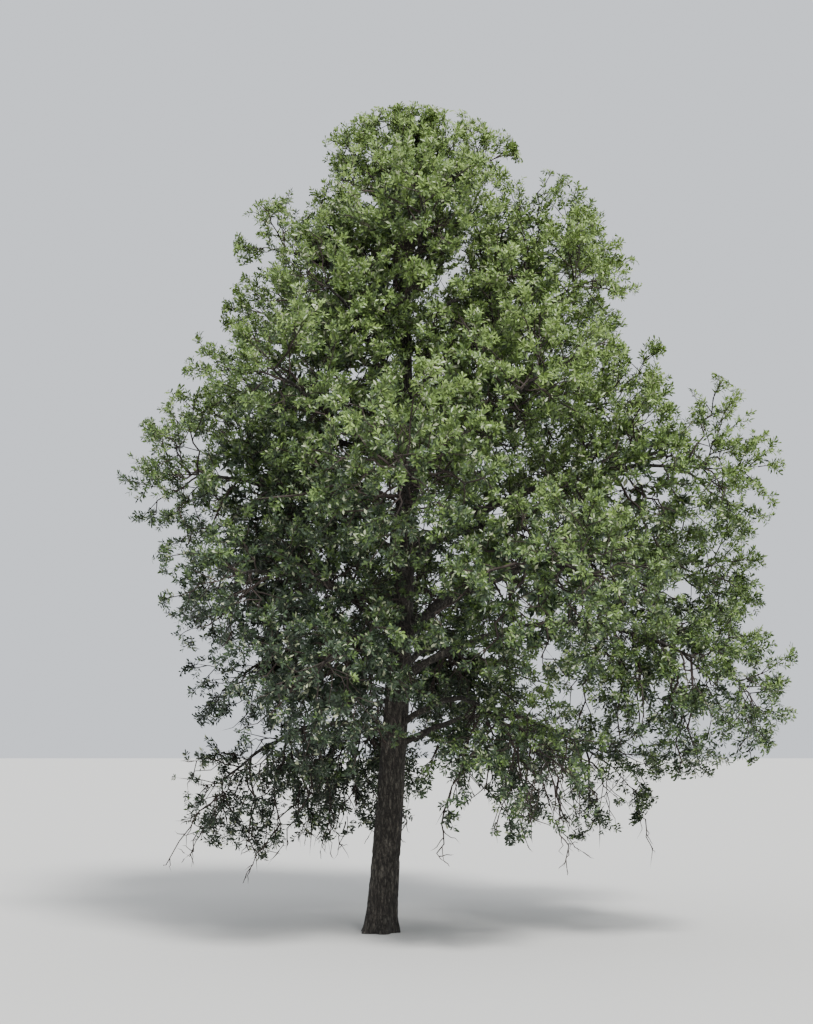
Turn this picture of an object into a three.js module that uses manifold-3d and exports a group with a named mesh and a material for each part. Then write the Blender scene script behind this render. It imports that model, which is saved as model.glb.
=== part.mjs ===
// An oak that stands alone in a meadow: one leaning trunk, boughs in tiers up it, and a mass of foliage at the
// end of each bough. Millimetres, +Z up, +X to the right of the view and +Y away from it. The origin is the
// middle of the flat cut at ground level.
import * as THREE from "three";
import { mergeVertices } from "three/addons/utils/BufferGeometryUtils.js";
import Module from "manifold-3d";

const wasm = await Module();
wasm.setup();

const UP = new THREE.Vector3(0, 0, 1);
const GOLDEN_SHARE = 0.618034; // sets any number of boughs evenly up a tier
const GOLDEN_TURN = THREE.MathUtils.degToRad(137.508); // and of twigs evenly round a stem
const CLEAR = 0.3; // between two pieces that meet
const MERGE_WITHIN = 1e-3; // vertices this close are one

// The trunk rises from its flared foot, leans to the right and straightens.
const trunk = {
  height: 5950,
  radius: 110,
  tipRadius: 15,
  taperPower: 1.45,
  flare: 30,
  flareHeight: 170,
  buttresses: 5,
  buttressDepth: 0.16,
  lean: 245,
  leanHeight: 2100,
  sway: 13,
  swayHeight: 620,
  swayPhase: 2, // between its sways to the side and to the back, in radians
  sides: 15,
  rings: 16,
  ringCrowding: 1.5, // above 1, the rings sit closer together at the foot
};

// One row for each tier of boughs, from the lowest up. root is the height at which they leave the trunk, middle
// and size are the height of the middle of their foliage and its horizontal radius, left and right are how far
// the crown reaches from the trunk on those sides, first and step are bearings in degrees from +X, anticlockwise
// from above, lift is how far a bough is pulled up above its chord, as a share of its run, and radius is the
// bough's own at the trunk.
const tierTable = [
  // name, root, middle, size, left, right, count, first, step, lift, radius
  ["skirt", 1500, 1300, 760, 1740, 2300, 4, -48, 74, 0.24, 26],
  ["low", 1880, 1960, 930, 1790, 3120, 4, -24, 90, 0.22, 34],
  ["broad", 2260, 2660, 1050, 2010, 3190, 5, 12, 72, 0.18, 40],
  ["middle", 2880, 3390, 1090, 2260, 2980, 5, -20, 72, 0.12, 40],
  ["high", 3440, 4110, 1020, 2080, 2290, 5, 14, 72, 0.08, 34],
  ["shoulder", 4080, 4820, 950, 1620, 1960, 4, -28, 90, 0.05, 28],
  ["upper", 4700, 5440, 830, 1400, 1780, 4, 6, 90, 0.03, 24],
  ["peak", 5330, 5960, 590, 780, 960, 3, -24, 120, 0, 18],
];
const boughTiers = 5; // from here up, the foliage stems start at the trunk itself
const top = { middle: 6200, size: 480, sunk: 20, stemEnd: 0.1 }; // stemEnd is a share of size, above middle

const limbShape = {
  seed: 20251,
  rootSpread: 420, // boughs of one tier leave the trunk at different heights
  bearingSpread: 16,
  heightSpread: 0.22, // of the foliage's size
  leftDrop: 150, // how much lower the foliage of the lowest tier hangs on the left than on the right
  handle: 0.36, // share of the way out at which a limb's curve is pulled
  sideways: 0.11, // how far a limb wanders off its bearing, as a share of its run
  entry: 0.72, // where a bough ends, in sizes inward from the middle of its foliage
  stemEnd: 0.5, // and where the stem ends, outward from it
  shortestBough: 260,
  tipRadius: 7,
  taperPower: 0.9,
  collar: 0.5, // the swelling where a limb leaves the trunk, of its radius
  collarLength: 90,
  boughSides: 6,
  boughSteps: 6,
  stemSides: 4,
  stemSteps: 3,
};

const foliage = {
  seed: 101,
  seedStep: 37, // from one mass to the next
  flatten: 1.28, // the masses are wider than they are high
  margin: 14, // kept clear of the plane between two masses
  twigCount: 5,
  twigReach: 0.52, // share of the room outwards that a twig fills, the rest is left to its leaves
  reachSpread: 0.2,
  forward: 0.45, // how far a twig slants towards the stem's end
  firstRoot: 0.12, // shares of the stem between which twigs leave it
  lastRoot: 0.98,
  rootSpacing: 0.05, // each twig leaves the stem at least this share of it below the one before
  twigRadius: 9,
  twigTipRadius: 6,
  leavesPerTwig: 3,
  leafLength: 0.56, // of a mass's size
  leafWidth: 0.72, // of the leaf's length
  leafThickness: 11,
  leafFold: 0.07, // how far its edges rise above its keel, of its length
  widestAt: 0.6,
  leafSpread: 1.05, // the angle between a twig and its side leaves
  yawSpread: 0.4,
  rollSpread: 2,
  leafSpacing: 0.18, // of the twig's length
  shortestLeaf: 0.55, // a leaf that has less room than this share of its length is skipped
  tipClear: 2, // between a leaf's tip and the edge of its mass's space
};

const bark = { color: 0x40382f, roughness: 0.95, metalness: 0 };
const green = { color: 0x4d6633, roughness: 0.75, metalness: 0 };

// A stream of chances from 0 to 1 that is the same on every run.
function seededChance(seed) {
  let state = seed;
  return () => {
    state = (state * 16807) % 2147483647;
    return state / 2147483647;
  };
}

// A part of another curve, from one share of its length to another.
class Stretch extends THREE.Curve {
  constructor(whole, from, to) {
    super();
    this.whole = whole;
    this.from = from;
    this.to = to;
  }
  getPoint(share, target = new THREE.Vector3()) {
    return this.whole.getPointAt(THREE.MathUtils.lerp(this.from, this.to, share), target);
  }
}

function trunkPoint(z) {
  const lean = trunk.lean * (1 - Math.exp(-z / trunk.leanHeight));
  const sway = trunk.sway * (1 - Math.exp(-z / trunk.swayHeight));
  const turn = z / trunk.swayHeight;
  return new THREE.Vector3(lean - sway * Math.sin(turn), sway * Math.sin(turn + trunk.swayPhase), z);
}

function trunkRadius(z) {
  const taper = 1 - (z / trunk.height) ** trunk.taperPower;
  const flare = trunk.flare * Math.exp(-z / trunk.flareHeight);
  return trunk.tipRadius + (trunk.radius - trunk.tipRadius) * taper + flare;
}

// The trunk's rings are level, so that its foot is one flat cut.
function trunkShape(grown = 0) {
  const shape = new THREE.CylinderGeometry(1, 1, 1, trunk.sides, trunk.rings).rotateX(Math.PI / 2);
  const position = shape.attributes.position;
  for (let i = 0; i < position.count; i++) {
    const share = position.getZ(i) + 0.5;
    const z = trunk.height * share ** trunk.ringCrowding;
    const turn = Math.atan2(position.getY(i), position.getX(i));
    const buttress = trunk.buttressDepth * Math.exp(-z / trunk.flareHeight) * Math.cos(trunk.buttresses * turn);
    const radius = trunkRadius(z) * (1 + buttress) + grown;
    const middle = trunkPoint(z);
    position.setXYZ(
      i,
      middle.x + position.getX(i) * radius,
      middle.y + position.getY(i) * radius,
      z + share * grown,
    );
  }
  return shape;
}

// A cylinder bent along a curve, with its own radius at each share of the way.
function bentTube(curve, radiusAt, sides, steps) {
  const tube = new THREE.CylinderGeometry(1, 1, 1, sides, steps);
  const frames = curve.computeFrenetFrames(steps, false);
  const position = tube.attributes.position;
  for (let i = 0; i < position.count; i++) {
    const step = Math.round((position.getY(i) + 0.5) * steps);
    const radius = radiusAt(step / steps);
    const at = curve
      .getPointAt(step / steps)
      .addScaledVector(frames.normals[step], position.getX(i) * radius)
      .addScaledVector(frames.binormals[step], -position.getZ(i) * radius);
    position.setXYZ(i, at.x, at.y, at.z);
  }
  return tube;
}

// A point on the straight runs between such a tube's rings.
function chordPoint(curve, share, steps) {
  const step = Math.min(steps - 1, Math.floor(share * steps));
  return curve.getPointAt(step / steps).lerp(curve.getPointAt((step + 1) / steps), share * steps - step);
}

function solidOf(geometry) {
  const bare = geometry.clone();
  bare.deleteAttribute("normal");
  bare.deleteAttribute("uv");
  const merged = mergeVertices(bare, MERGE_WITHIN);
  return new wasm.Manifold(
    new wasm.Mesh({
      numProp: 3,
      vertProperties: merged.attributes.position.array,
      triVerts: new Uint32Array(merged.index.array),
    }),
  );
}

// The largest body alone: loose scraps go, and so do the walls of sealed hollows.
function wholeBody(solid) {
  return solid.decompose().sort((a, b) => b.volume() - a.volume())[0];
}

function meshOf(name, solid, look) {
  const made = wholeBody(solid).getMesh();
  const geometry = new THREE.BufferGeometry()
    .setAttribute("position", new THREE.BufferAttribute(made.vertProperties, made.numProp))
    .setIndex(new THREE.BufferAttribute(made.triVerts, 1));
  geometry.computeVertexNormals();
  const mesh = new THREE.Mesh(geometry, new THREE.MeshStandardMaterial(look));
  mesh.name = name;
  return mesh;
}

// Where one limb of a tier goes: from the middle of the trunk, through the bough, to the end of the stem inside
// the foliage. split is the share of its length at which the bough ends and the stem begins.
function planLimb(row, tierNumber, number, chance) {
  const [name, rootHeight, middle, size, left, right, , first, step, lift, radius] = row;
  const bearingChange = (chance() - 0.5) * limbShape.bearingSpread;
  const heightChange = (chance() - 0.5) * limbShape.heightSpread * size;
  const way = chance() < 0.5 ? -1 : 1;
  const rootChange = (((number + 1) * GOLDEN_SHARE) % 1 - 0.5) * limbShape.rootSpread;
  const bearing = THREE.MathUtils.degToRad(first + step * number + bearingChange);
  const outward = new THREE.Vector3(Math.cos(bearing), Math.sin(bearing), 0);
  const aside = new THREE.Vector3().crossVectors(UP, outward);
  const reach = THREE.MathUtils.lerp(left, right, (1 + outward.x) / 2);
  const root = trunkPoint(rootHeight + rootChange);
  const drop = tierNumber === 0 ? (limbShape.leftDrop * (1 - outward.x)) / 2 : 0;
  const centre = trunkPoint(middle)
    .addScaledVector(UP, heightChange - drop)
    .addScaledVector(outward, reach - size);
  const end = centre.clone().addScaledVector(outward, size * limbShape.stemEnd);
  const run = end.clone().sub(root).setZ(0).length();
  const bend = way * limbShape.sideways * run;
  const handle = outward
    .clone()
    .multiplyScalar(limbShape.handle * run)
    .addScaledVector(UP, limbShape.handle * (end.z - root.z));
  const curve = new THREE.CubicBezierCurve3(
    root,
    root.clone().add(handle).addScaledVector(UP, lift * run).addScaledVector(aside, bend),
    end.clone().sub(handle).addScaledVector(UP, lift * run).addScaledVector(aside, -bend),
    end,
  );
  const length = curve.getLength();
  const inside = size * (limbShape.entry + limbShape.stemEnd);
  const onTrunk = tierNumber >= boughTiers;
  return {
    name: name + "_" + (number + 1),
    onTrunk,
    curve,
    length,
    split: onTrunk ? 0 : Math.max(limbShape.shortestBough, length - inside) / length,
    radiusAt: (share) =>
      limbShape.tipRadius +
      (radius - limbShape.tipRadius) * (1 - share) ** limbShape.taperPower +
      radius * limbShape.collar * Math.exp((-share * length) / limbShape.collarLength),
    centre,
    size,
    bearing,
  };
}

const limbChance = seededChance(limbShape.seed);
const limbs = tierTable.flatMap((row, tierNumber) =>
  Array.from({ length: row[6] }, (_, number) => planLimb(row, tierNumber, number, limbChance)),
);

// The topmost foliage stands on the trunk's own tip: its stem begins inside it and is cut off level with it.
const topStart = trunkPoint(trunk.height - top.sunk);
const topEnd = trunkPoint(top.middle + top.size * top.stemEnd);
limbs.push({
  name: "top",
  onTrunk: true,
  curve: new THREE.LineCurve3(topStart, topEnd),
  length: topStart.distanceTo(topEnd),
  split: 0,
  radiusAt: (share) => THREE.MathUtils.lerp(trunk.tipRadius, limbShape.tipRadius, share),
  centre: trunkPoint(top.middle),
  size: top.size,
  bearing: 0,
});

// Foliage is measured in a space where heights are stretched, so that a flattened mass is a ball. Each mass
// keeps to its own ball, and to its own side of the plane that parts it from each other ball.
function stretched(v) {
  return new THREE.Vector3(v.x, v.y, v.z * foliage.flatten);
}

for (const limb of limbs) {
  const middle = stretched(limb.centre);
  limb.walls = limbs
    .filter((other) => other !== limb)
    .map((other) => {
      const between = stretched(other.centre).sub(middle);
      const distance = between.length();
      const wallAt = (distance ** 2 + limb.size ** 2 - other.size ** 2) / (2 * distance);
      return { normal: between.divideScalar(distance), at: wallAt - foliage.margin };
    })
    .filter((wall) => wall.at < limb.size);
}

// How far a mass's space goes on from a point in a direction.
function roomAlong(limb, from, direction) {
  const p = stretched(from).sub(stretched(limb.centre));
  const d = stretched(direction);
  const a = d.lengthSq();
  const b = p.dot(d);
  const c = p.lengthSq() - limb.size ** 2;
  let room = (-b + Math.sqrt(Math.max(0, b * b - a * c))) / a;
  for (const wall of limb.walls) {
    const speed = wall.normal.dot(d);
    if (speed > 0) room = Math.min(room, (wall.at - wall.normal.dot(p)) / speed);
  }
  return room;
}

function isInside(limb, point) {
  const p = stretched(point).sub(stretched(limb.centre));
  return p.length() <= limb.size && limb.walls.every((wall) => wall.normal.dot(p) <= wall.at);
}

// Twigs run from the stem towards points spread evenly round the middle of the mass, part of the way to the
// edge of its space. The middle one of them points straight away from the trunk.
function planTwigs(limb, chance) {
  const stemStart = chordPoint(limb.stemCurve, 0, limbShape.stemSteps);
  const run = chordPoint(limb.stemCurve, 1, limbShape.stemSteps).sub(stemStart);
  return Array.from({ length: foliage.twigCount }, (_, k) => {
    const height = 1 - (2 * k + 1) / foliage.twigCount;
    const level = Math.sqrt(1 - height * height);
    const turn = (k - (foliage.twigCount - 1) / 2) * GOLDEN_TURN + limb.bearing;
    const outward = new THREE.Vector3(Math.cos(turn) * level, Math.sin(turn) * level, height / foliage.flatten);
    const room = roomAlong(limb, limb.centre, outward);
    const reach = foliage.twigReach * (1 + (chance() - 0.5) * foliage.reachSpread);
    const to = limb.centre.clone().addScaledVector(outward, room * reach);
    const beyond = to.clone().sub(stemStart);
    const beside = beyond.dot(run) / run.lengthSq();
    const gap = beyond.addScaledVector(run, -beside).length();
    const highest = foliage.lastRoot - k * foliage.rootSpacing;
    const wanted = beside - (foliage.forward * gap) / run.length();
    const share = THREE.MathUtils.clamp(wanted, foliage.firstRoot, highest);
    const from = chordPoint(limb.stemCurve, share, limbShape.stemSteps);
    const direction = to.clone().sub(from).normalize();
    return { from, to, direction, rolls: Array.from({ length: 2 * foliage.leavesPerTwig }, chance) };
  });
}

// A leaf blade is folded along its keel and thickest over the middle of it. Its faces join its left edge, right
// edge, rib and tip, numbered from 0, to the point or the ring of three points that it grows from, numbered
// from 4, and a twig's own faces join that ring to the one at its root, numbered from 7.
const bladeOnPoint = [4, 2, 0, 4, 1, 2, 0, 2, 3, 2, 1, 3, 4, 0, 3, 4, 3, 1];
const bladeOnTwig = [
  [4, 5, 0, 5, 2, 0, 5, 6, 2, 6, 1, 2, 6, 4, 1, 0, 2, 3, 2, 1, 3, 4, 0, 3, 4, 3, 1],
  [4, 7, 5, 5, 7, 8, 5, 8, 6, 6, 8, 9, 6, 9, 4, 4, 9, 7, 7, 9, 8],
].flat();

function bladePoints(root, direction, facing, length) {
  const side = new THREE.Vector3().crossVectors(direction, facing);
  const widest = root.clone().addScaledVector(direction, foliage.widestAt * length);
  const edge = (way) =>
    widest
      .clone()
      .addScaledVector(side, (way * foliage.leafWidth * length) / 2)
      .addScaledVector(facing, foliage.leafFold * length);
  return [
    edge(-1),
    edge(1),
    widest.clone().addScaledVector(facing, foliage.leafThickness),
    root.clone().addScaledVector(direction, length),
  ];
}

function ringPoints(middle, direction, facing, radius) {
  return [180, -60, 60].map((degrees) =>
    facing
      .clone()
      .applyAxisAngle(direction, THREE.MathUtils.degToRad(degrees))
      .multiplyScalar(radius)
      .add(middle),
  );
}

function closedShape(points, faces) {
  return new THREE.BufferGeometry().setFromPoints(points).setIndex(faces);
}

// How a leaf faces: upwards, but for a turn of its own.
function facingUp(direction, roll) {
  const across = UP.clone().addScaledVector(direction, -UP.dot(direction)).normalize();
  return across.applyAxisAngle(direction, (roll - 0.5) * foliage.rollSpread);
}

// A leaf's length, cut to its space, or nothing where that would leave too little of it.
function lengthInRoom(limb, root, direction) {
  const fullLength = foliage.leafLength * limb.size;
  const length = Math.min(fullLength, roomAlong(limb, root, direction) - foliage.tipClear);
  return length < fullLength * foliage.shortestLeaf ? 0 : length;
}

// A three-sided twig ends in one large leaf, which stands for a spray.
function twigShape(limb, twig) {
  const facing = facingUp(twig.direction, twig.rolls[0]);
  const length = lengthInRoom(limb, twig.to, twig.direction);
  return closedShape(
    [
      ...bladePoints(twig.to, twig.direction, facing, length),
      ...ringPoints(twig.to, twig.direction, facing, foliage.twigTipRadius),
      ...ringPoints(twig.from, twig.direction, facing, foliage.twigRadius),
    ],
    bladeOnTwig,
  );
}

// More leaves stand off both sides of it, their roots sunk to its middle.
function sideLeaves(limb, twig) {
  const leaves = [];
  for (let k = 1; k < foliage.leavesPerTwig; k++) {
    const way = k % 2 ? 1 : -1;
    const yaw = way * foliage.leafSpread + (twig.rolls[2 * k] - 0.5) * foliage.yawSpread;
    const facing = facingUp(twig.direction, twig.rolls[2 * k + 1]);
    const direction = twig.direction.clone().applyAxisAngle(facing, yaw);
    const root = twig.to.clone().lerp(twig.from, k * foliage.leafSpacing);
    const length = lengthInRoom(limb, root, direction);
    if (length) leaves.push(closedShape([...bladePoints(root, direction, facing, length), root], bladeOnPoint));
  }
  return leaves;
}

// Whether a blade, whose four outer points come first in its shape, keeps to the mass's space.
function bladeInside(limb, shape) {
  const point = new THREE.Vector3();
  return [0, 1, 2, 3].every((i) => isInside(limb, point.fromBufferAttribute(shape.attributes.position, i)));
}

function meets(a, b) {
  const boxA = a.boundingBox();
  const boxB = b.boundingBox();
  const apart = [0, 1, 2].some((axis) => boxA.min[axis] > boxB.max[axis] || boxB.min[axis] > boxA.max[axis]);
  return !apart && !a.intersect(b).isEmpty();
}

function limbSolid(limb, from, to, sides, steps) {
  const radiusAt = (share) => limb.radiusAt(THREE.MathUtils.lerp(from, to, share));
  return solidOf(bentTube(new Stretch(limb.curve, from, to), radiusAt, sides, steps));
}

const group = new THREE.Group();
const trunkGrown = solidOf(trunkShape(CLEAR));
group.add(meshOf("trunk", solidOf(trunkShape()), bark));

for (const limb of limbs) {
  if (limb.split > 0) {
    const whole = limbSolid(limb, 0, limb.split, limbShape.boughSides, limbShape.boughSteps);
    limb.bough = whole.subtract(trunkGrown);
    group.add(meshOf("bough_" + limb.name, limb.bough, bark));
  }
  const stemStart = limb.split + CLEAR / limb.length;
  limb.stemCurve = new Stretch(limb.curve, stemStart, 1);
  limb.stem = limbSolid(limb, stemStart, 1, limbShape.stemSides, limbShape.stemSteps);
  if (limb.onTrunk) limb.stem = limb.stem.subtract(trunkGrown);
}

// A twig or leaf that would leave its mass's space, or touch a limb other than its own stem, is left out.
const limbSolids = limbs.flatMap((limb) => [limb.bough, limb.stem]).filter(Boolean);

for (const [number, limb] of limbs.entries()) {
  const others = [trunkGrown, ...limbSolids].filter((solid) => solid !== limb.stem);
  const kept = [limb.stem];
  const keepIfFree = (shape) => {
    const solid = solidOf(shape);
    const isFree = bladeInside(limb, shape) && !others.some((other) => meets(solid, other));
    if (isFree) kept.push(solid);
    return isFree;
  };
  for (const twig of planTwigs(limb, seededChance(foliage.seed + foliage.seedStep * number))) {
    if (keepIfFree(twigShape(limb, twig))) sideLeaves(limb, twig).forEach(keepIfFree);
  }
  group.add(meshOf("foliage_" + limb.name, wasm.Manifold.union(kept), green));
}

export default group;
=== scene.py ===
# A young oak: bark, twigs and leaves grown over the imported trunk, boughs and masses of foliage.
# Metres, +Z up, +X right in the view, +Y away from it. The crown follows the solids' own rule.
import math
import time

import bmesh
import bpy
import numpy as np
from mathutils import Matrix, Vector, kdtree, noise


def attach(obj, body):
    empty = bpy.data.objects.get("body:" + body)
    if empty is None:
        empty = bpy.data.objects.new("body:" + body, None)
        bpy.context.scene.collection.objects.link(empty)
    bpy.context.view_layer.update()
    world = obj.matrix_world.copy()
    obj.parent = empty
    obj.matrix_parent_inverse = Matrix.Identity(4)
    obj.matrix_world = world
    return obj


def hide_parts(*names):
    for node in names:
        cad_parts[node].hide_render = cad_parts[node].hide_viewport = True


startTime = time.time()
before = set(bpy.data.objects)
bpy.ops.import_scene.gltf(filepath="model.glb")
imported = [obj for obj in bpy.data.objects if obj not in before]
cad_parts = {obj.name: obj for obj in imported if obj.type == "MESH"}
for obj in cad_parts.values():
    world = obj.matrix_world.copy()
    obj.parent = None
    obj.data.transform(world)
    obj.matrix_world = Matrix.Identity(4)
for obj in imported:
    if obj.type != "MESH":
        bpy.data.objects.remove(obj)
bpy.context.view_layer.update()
nodeNames = list(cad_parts)


def report(words):
    print(f"[oak {time.time() - startTime:5.1f} s] {words}")


report(f"frame loaded, {len(nodeNames)} nodes")

# The plan, as in the solids
goldenShare = 0.618034
goldenTurn = math.radians(137.508)

trunk = {
    "height": 5.95,
    "radius": 0.110,
    "tipRadius": 0.015,
    "taperPower": 1.45,
    "flare": 0.030,
    "flareHeight": 0.170,
    "buttresses": 5,
    "buttressDepth": 0.16,
    "lean": 0.245,
    "leanHeight": 2.1,
    "sway": 0.013,
    "swayHeight": 0.62,
    "swayPhase": 2,
}

tierNames = ("name", "root", "middle", "size", "left", "right", "count", "first", "step", "lift", "radius")
tierTable = [  # lengths in millimetres, bearings in degrees
    ("skirt", 1500, 1300, 760, 1740, 2300, 4, -48, 74, 0.24, 26),
    ("low", 1880, 1960, 930, 1790, 3120, 4, -24, 90, 0.22, 34),
    ("broad", 2260, 2660, 1050, 2010, 3190, 5, 12, 72, 0.18, 40),
    ("middle", 2880, 3390, 1090, 2260, 2980, 5, -20, 72, 0.12, 40),
    ("high", 3440, 4110, 1020, 2080, 2290, 5, 14, 72, 0.08, 34),
    ("shoulder", 4080, 4820, 950, 1620, 1960, 4, -28, 90, 0.05, 28),
    ("upper", 4700, 5440, 830, 1400, 1780, 4, 6, 90, 0.03, 24),
    ("peak", 5330, 5960, 590, 780, 960, 3, -24, 120, 0, 18),
]

limbShape = {
    "seed": 20251,
    "boughTiers": 5,  # from here up, foliage stems start at the trunk itself
    "rootSpread": 0.42,
    "bearingSpread": 16,
    "heightSpread": 0.22,
    "leftDrop": 0.15,  # lower on the left, in the lowest tier
    "handle": 0.36,
    "sideways": 0.11,
    "entry": 0.72,
    "stemEnd": 0.5,
    "shortestBough": 0.26,
    "tipRadius": 0.007,
    "taperPower": 0.9,
    "collar": 0.5,
    "collarLength": 0.09,
    "topMiddle": 6.2,
    "topSize": 0.48,
    "topSunk": 0.02,
    "topStemEnd": 0.1,
    "flatten": 1.28,
    "margin": 0.014,
    "curvePoints": 201,
}
farAway = 99
tiny = 1e-6


class Chance:  # the same stream of numbers from 0 to 1 on every run
    factor, modulus = 16807, 2147483647

    def __init__(self, seed):
        self.state = seed

    def __call__(self):
        self.state = self.state * self.factor % self.modulus
        return self.state / self.modulus


def trunkPoint(z):
    lean = trunk["lean"] * (1 - math.exp(-z / trunk["leanHeight"]))
    sway = trunk["sway"] * (1 - math.exp(-z / trunk["swayHeight"]))
    turn = z / trunk["swayHeight"]
    return np.array([lean - sway * math.sin(turn), sway * math.sin(turn + trunk["swayPhase"]), z])


def trunkRadius(z):
    taper = 1 - min(1.0, z / trunk["height"]) ** trunk["taperPower"]
    flare = trunk["flare"] * math.exp(-z / trunk["flareHeight"])
    return trunk["tipRadius"] + (trunk["radius"] - trunk["tipRadius"]) * taper + flare


class Limb:  # one curve from the trunk to the end of the stem inside a mass
    def __init__(self, handles, size, centre, bearing, name):
        self.name, self.size, self.centre, self.bearing = name, size, centre, bearing
        t = np.linspace(0, 1, limbShape["curvePoints"])[:, None]
        a, b, c, d = handles
        s = 1 - t
        self.points = s**3 * a + 3 * s * s * t * b + 3 * s * t * t * c + t**3 * d
        steps = np.linalg.norm(np.diff(self.points, axis=0), axis=1)
        self.along = np.concatenate([[0], np.cumsum(steps)])
        self.length = self.along[-1]

    def at(self, share):
        wanted = np.asarray(share) * self.length
        return np.stack([np.interp(wanted, self.along, self.points[:, k]) for k in range(3)], axis=-1)


def planLimb(row, tierNumber, number, chance):
    tier = dict(zip(tierNames, row))
    size, left, right = (tier[key] / 1000 for key in ("size", "left", "right"))
    bearingChange = (chance() - 0.5) * limbShape["bearingSpread"]
    heightChange = (chance() - 0.5) * limbShape["heightSpread"] * size
    way = -1 if chance() < 0.5 else 1
    rootChange = ((number + 1) * goldenShare % 1 - 0.5) * limbShape["rootSpread"]
    bearing = math.radians(tier["first"] + tier["step"] * number + bearingChange)
    outward = np.array([math.cos(bearing), math.sin(bearing), 0])
    aside = np.array([-outward[1], outward[0], 0])
    up = np.array([0, 0, 1.0])
    reach = left + (right - left) * (1 + outward[0]) / 2
    root = trunkPoint(tier["root"] / 1000 + rootChange)
    drop = limbShape["leftDrop"] * (1 - outward[0]) / 2 if tierNumber == 0 else 0
    centre = trunkPoint(tier["middle"] / 1000) + up * (heightChange - drop) + outward * (reach - size)
    end = centre + outward * size * limbShape["stemEnd"]
    run = math.hypot(*(end - root)[:2])
    bend = way * limbShape["sideways"] * run
    handle = outward * limbShape["handle"] * run + up * limbShape["handle"] * (end[2] - root[2])
    lift = up * tier["lift"] * run
    limb = Limb(
        (root, root + handle + lift + aside * bend, end - handle + lift - aside * bend, end),
        size, centre, bearing, f"{tier['name']}_{number + 1}",
    )
    inside = size * (limbShape["entry"] + limbShape["stemEnd"])
    boughLength = max(limbShape["shortestBough"], limb.length - inside)
    limb.split = 0 if tierNumber >= limbShape["boughTiers"] else boughLength / limb.length
    limb.baseRadius, limb.tier = tier["radius"] / 1000, tierNumber
    return limb


def limbRadius(limb, share):
    if limb.name == "top":
        return trunk["tipRadius"] + (limbShape["tipRadius"] - trunk["tipRadius"]) * share
    taper = (limb.baseRadius - limbShape["tipRadius"]) * max(0.0, 1 - share) ** limbShape["taperPower"]
    fade = math.exp(-share * limb.length / limbShape["collarLength"])
    return limbShape["tipRadius"] + taper + fade * limb.baseRadius * limbShape["collar"]


limbChance = Chance(limbShape["seed"])
limbs = [
    planLimb(row, tierNumber, number, limbChance)
    for tierNumber, row in enumerate(tierTable)
    for number in range(row[6])
]
topStart = trunkPoint(trunk["height"] - limbShape["topSunk"])
topEnd = trunkPoint(limbShape["topMiddle"] + limbShape["topSize"] * limbShape["topStemEnd"])
top = Limb(
    (topStart, topStart * 2 / 3 + topEnd / 3, topStart / 3 + topEnd * 2 / 3, topEnd),
    limbShape["topSize"], trunkPoint(limbShape["topMiddle"]), 0.0, "top",
)
top.split, top.tier = 0, len(tierTable)
limbs.append(top)

# Heights are stretched, so that a flattened mass is a ball, parted from each other ball by a plane.
stretch = np.array([1, 1, limbShape["flatten"]])
centres = np.array([limb.centre for limb in limbs])
sizes = np.array([limb.size for limb in limbs])
between = (centres[None, :, :] - centres[:, None, :]) * stretch
distance = np.linalg.norm(between, axis=2)
np.fill_diagonal(distance, 1)
wallNormal = between / distance[:, :, None]
wallAt = (distance**2 + sizes[:, None] ** 2 - sizes[None, :] ** 2) / (2 * distance) - limbShape["margin"]
np.fill_diagonal(wallAt, farAway)


def roomAlong(mass, start, direction):  # how far each point's space goes on in its direction
    p = (start - centres[mass]) * stretch
    d = direction * stretch
    a = (d * d).sum(1)
    b = (p * d).sum(1)
    c = (p * p).sum(1) - sizes[mass] ** 2
    room = (-b + np.sqrt(np.maximum(0, b * b - a * c))) / a
    speed = np.einsum("nkj,nj->nk", wallNormal[mass], d)
    ahead = wallAt[mass] - np.einsum("nkj,nj->nk", wallNormal[mass], p)
    limits = np.where(speed > tiny, ahead / np.maximum(speed, tiny), farAway)
    return np.minimum(room, limits.min(axis=1))


def isInside(mass, points):
    p = (points - centres[mass]) * stretch
    beyond = np.einsum("nkj,nj->nk", wallNormal[mass], p) > wallAt[mass]
    return (np.linalg.norm(p, axis=1) <= sizes[mass]) & ~beyond.any(axis=1)


report(f"planned {len(limbs)} limbs")

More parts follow.
